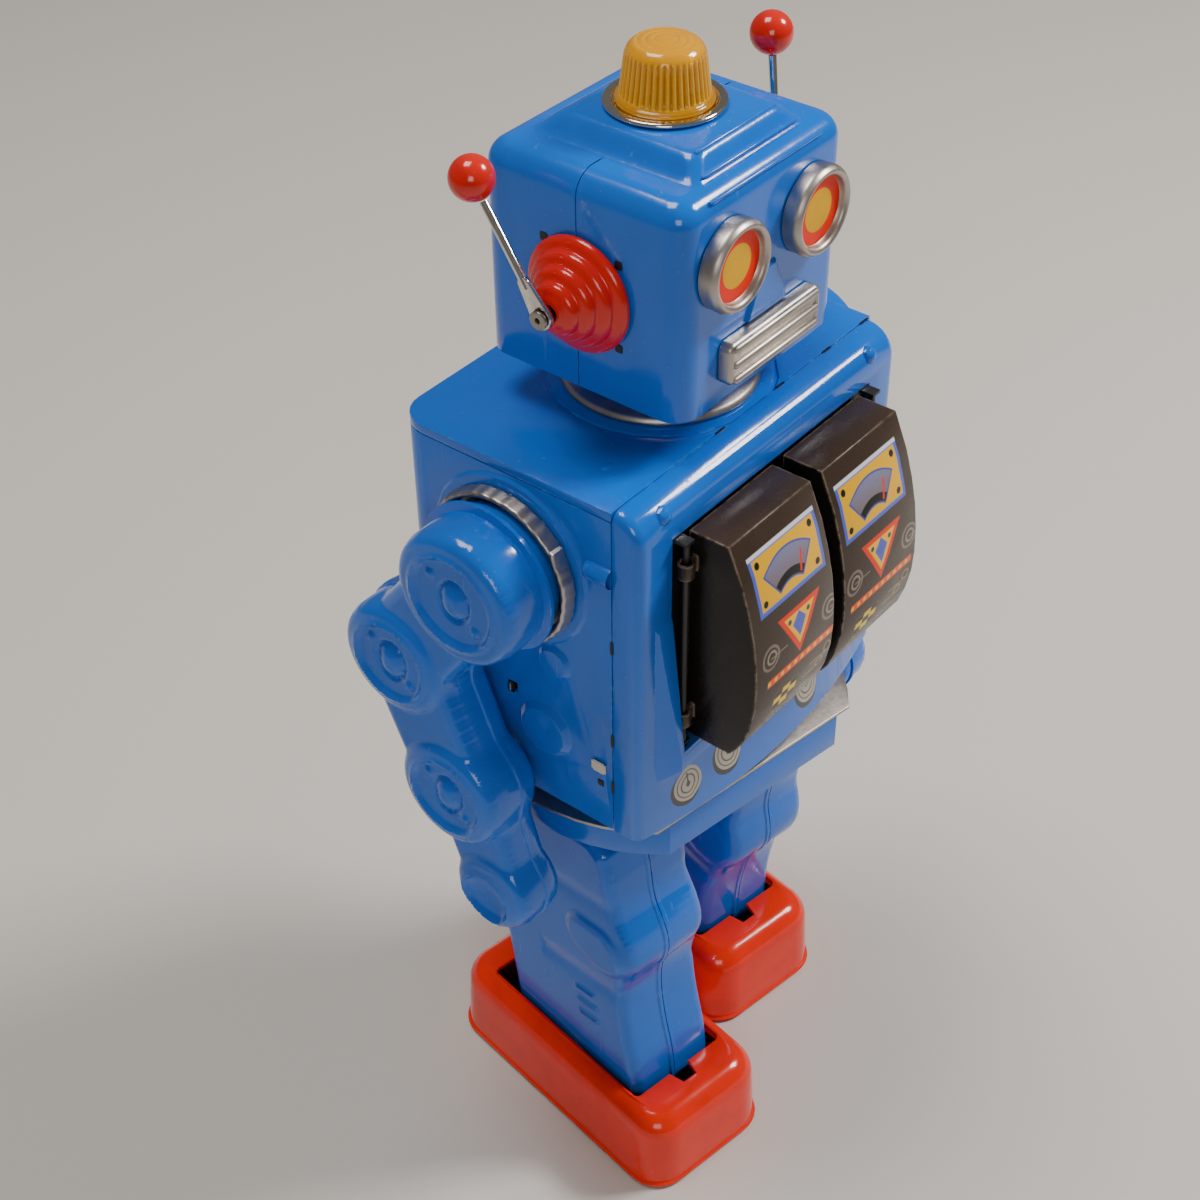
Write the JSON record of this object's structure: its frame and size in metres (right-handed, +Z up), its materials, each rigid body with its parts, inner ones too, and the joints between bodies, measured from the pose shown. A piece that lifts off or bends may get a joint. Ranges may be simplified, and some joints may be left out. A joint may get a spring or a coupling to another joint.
{
  "type": "toy robot",
  "caption": "Walking tin toy robot with swinging arms and legs, turning waist, opening chest doors over toy guns, lamp dome and tilting antennas.",
  "frame": {"origin": "on the floor under the middle of the whole box", "axes": "+Z up, the chest faces -Y, the robot's own left hand side is +X"},
  "size_m": [0.1442, 0.114, 0.3025],
  "materials": {
    "blue_enamel": "gloss lithographed enamel",
    "red_plastic": "gloss",
    "red_shoe": "gloss",
    "silver_tin": "dull silver",
    "amber_lens": "clear amber",
    "clear_bulb": "clear",
    "bright_chrome": "polished",
    "plain_steel": "brushed",
    "brass_parts": "plain",
    "gunmetal_print": "printed, satin",
    "black_plastic": "satin",
    "nylon_gear": "plain",
    "battery_jacket": "printed jacket",
    "black_rubber": "matte"
  },
  "bodies": {
    "torso": {"head_front_shell": "blue_enamel", "head_rear_shell": "blue_enamel", "eye_right": "silver_tin", "eye_left": "silver_tin", "mouth_grille": "silver_tin", "ear_cup_right": "red_plastic", "ear_cup_left": "red_plastic", "antenna_rivet_right": "brass_parts", "antenna_rivet_left": "brass_parts", "lamp_ring": "bright_chrome", "dome_lens": "amber_lens", "lamp_bulb": "clear_bulb", "lamp_socket": "brass_parts", "neck_collar": "silver_tin", "chest_shell": "blue_enamel", "back_shell": "blue_enamel", "torso_top": "blue_enamel", "torso_base": "plain_steel", "door_hinge_right": "plain_steel", "door_hinge_left": "plain_steel", "battery_case": "black_plastic", "battery_right": "battery_jacket", "battery_left": "battery_jacket", "drive_motor": "plain_steel", "gearbox_frame": "plain_steel", "shoulder_ring_right": "silver_tin", "shoulder_ring_left": "silver_tin"},
    "antenna_right": {"antenna_rod_right": "plain_steel", "antenna_ball_right": "red_plastic"},
    "antenna_left": {"antenna_rod_left": "plain_steel", "antenna_ball_left": "red_plastic"},
    "arm_right": {"arm_outer_half_right": "blue_enamel", "arm_inner_half_right": "blue_enamel", "shoulder_axle_right": "plain_steel"},
    "arm_left": {"arm_outer_half_left": "blue_enamel", "arm_inner_half_left": "blue_enamel", "shoulder_axle_left": "plain_steel"},
    "door_right": {"chest_door_right": "gunmetal_print"},
    "door_left": {"chest_door_left": "gunmetal_print"},
    "hatch": {"battery_door": "blue_enamel"},
    "switch": {"power_switch": "black_plastic"},
    "guns": {"gun_carriage": "black_plastic"},
    "large_gear": {"drive_gear": "nylon_gear"},
    "small_gear": {"motor_pinion": "brass_parts"},
    "hips": {"pelvis": "blue_enamel", "turntable": "silver_tin", "waist_shaft": "plain_steel", "hip_axle": "plain_steel"},
    "leg_right": {"leg_outer_half_right": "blue_enamel", "leg_inner_half_right": "blue_enamel"},
    "leg_left": {"leg_outer_half_left": "blue_enamel", "leg_inner_half_left": "blue_enamel"},
    "foot_right": {"shoe_right": "red_shoe", "sole_plate_right": "plain_steel"},
    "foot_left": {"shoe_left": "red_shoe", "sole_plate_left": "plain_steel"},
    "wheels_front_right": {"wheelset_front_right": "black_rubber"},
    "wheels_rear_right": {"wheelset_rear_right": "black_rubber"},
    "wheels_front_left": {"wheelset_front_left": "black_rubber"},
    "wheels_rear_left": {"wheelset_rear_left": "black_rubber"}
  },
  "joints": [
    {"name": "waist_turn", "type": "hinge", "parent": "torso", "child": "hips", "pos_m": [0, -0.0042, 0.125], "axis": [0, 0, 1], "continuous": true},
    {"name": "arm_right_swing", "type": "hinge", "parent": "torso", "child": "arm_right", "pos_m": [-0.055, -0.0005, 0.1948], "axis": [1, 0, 0], "continuous": true},
    {"name": "arm_left_swing", "type": "hinge", "parent": "torso", "child": "arm_left", "pos_m": [0.055, -0.0005, 0.1948], "axis": [1, 0, 0], "continuous": true},
    {"name": "antenna_right_tilt", "type": "hinge", "parent": "torso", "child": "antenna_right", "pos_m": [-0.0424, -0.0054, 0.256], "axis": [1, 0, 0], "range_deg": [-66, 134]},
    {"name": "antenna_left_tilt", "type": "hinge", "parent": "torso", "child": "antenna_left", "pos_m": [0.0424, -0.0054, 0.256], "axis": [1, 0, 0], "range_deg": [-94, 105]},
    {"name": "chest_door_left_swing", "type": "hinge", "parent": "torso", "child": "door_left", "pos_m": [0.0366, -0.0394, 0.18], "axis": [0, 0, 1], "range_deg": [0, 85]},
    {"name": "chest_door_right_swing", "type": "hinge", "parent": "torso", "child": "door_right", "pos_m": [-0.0366, -0.0394, 0.18], "axis": [0, 0, 1], "range_deg": [-85, 0]},
    {"name": "battery_door_swing", "type": "hinge", "parent": "torso", "child": "hatch", "pos_m": [0, 0.034, 0.1312], "axis": [-1, 0, 0], "range_deg": [0, 100]},
    {"name": "power_switch_slide", "type": "slide", "parent": "torso", "child": "switch", "axis": [1, 0, 0], "range_m": [-0.003, 0.003]},
    {"name": "gun_carriage_slide", "type": "slide", "parent": "torso", "child": "guns", "axis": [0, -1, 0], "range_m": [0, 0.008]},
    {"name": "drive_gear_spin", "type": "hinge", "parent": "torso", "child": "large_gear", "pos_m": [0.0053, -0.0228, 0.155], "axis": [1, 0, 0], "continuous": true},
    {"name": "motor_pinion_spin", "type": "hinge", "parent": "torso", "child": "small_gear", "pos_m": [0.0053, -0.0228, 0.1385], "axis": [1, 0, 0], "continuous": true},
    {"name": "hip_left_swing", "type": "hinge", "parent": "hips", "child": "leg_left", "pos_m": [0.0265, -0.00467, 0.113], "axis": [0.9857, -0.1685, 0], "range_deg": [-21.3, 2.7]},
    {"name": "hip_right_swing", "type": "hinge", "parent": "hips", "child": "leg_right", "pos_m": [-0.02515, 0.00416, 0.113], "axis": [0.9857, -0.1685, 0], "range_deg": [-2.7, 21.3]},
    {"name": "ankle_left_swing", "type": "hinge", "parent": "leg_left", "child": "foot_left", "pos_m": [0.02904, 0.01018, 0.02102], "axis": [0.9857, -0.1685, 0], "range_deg": [-2.7, 21.3]},
    {"name": "ankle_right_swing", "type": "hinge", "parent": "leg_right", "child": "foot_right", "pos_m": [-0.02769, -0.01069, 0.02102], "axis": [0.9857, -0.1685, 0], "range_deg": [-21.3, 2.7]},
    {"name": "wheels_front_right_roll", "type": "hinge", "parent": "foot_right", "child": "wheels_front_right", "pos_m": [-0.03224, -0.0373, 0.0045], "axis": [0.9857, -0.1685, 0], "continuous": true},
    {"name": "wheels_rear_right_roll", "type": "hinge", "parent": "foot_right", "child": "wheels_rear_right", "pos_m": [-0.02247, 0.01987, 0.0045], "axis": [0.9857, -0.1685, 0], "continuous": true},
    {"name": "wheels_front_left_roll", "type": "hinge", "parent": "foot_left", "child": "wheels_front_left", "pos_m": [0.02449, -0.01644, 0.0045], "axis": [0.9857, -0.1685, 0], "continuous": true},
    {"name": "wheels_rear_left_roll", "type": "hinge", "parent": "foot_left", "child": "wheels_rear_left", "pos_m": [0.03426, 0.04073, 0.0045], "axis": [0.9857, -0.1685, 0], "continuous": true}
  ],
  "couplings": [
    {"joint": "chest_door_right_swing", "follows": "chest_door_left_swing", "ratio": -1},
    {"joint": "motor_pinion_spin", "follows": "drive_gear_spin", "ratio": -2.25},
    {"joint": "hip_right_swing", "follows": "hip_left_swing", "ratio": -1},
    {"joint": "ankle_left_swing", "follows": "hip_left_swing", "ratio": -1},
    {"joint": "ankle_right_swing", "follows": "hip_left_swing", "ratio": 1}
  ]
}
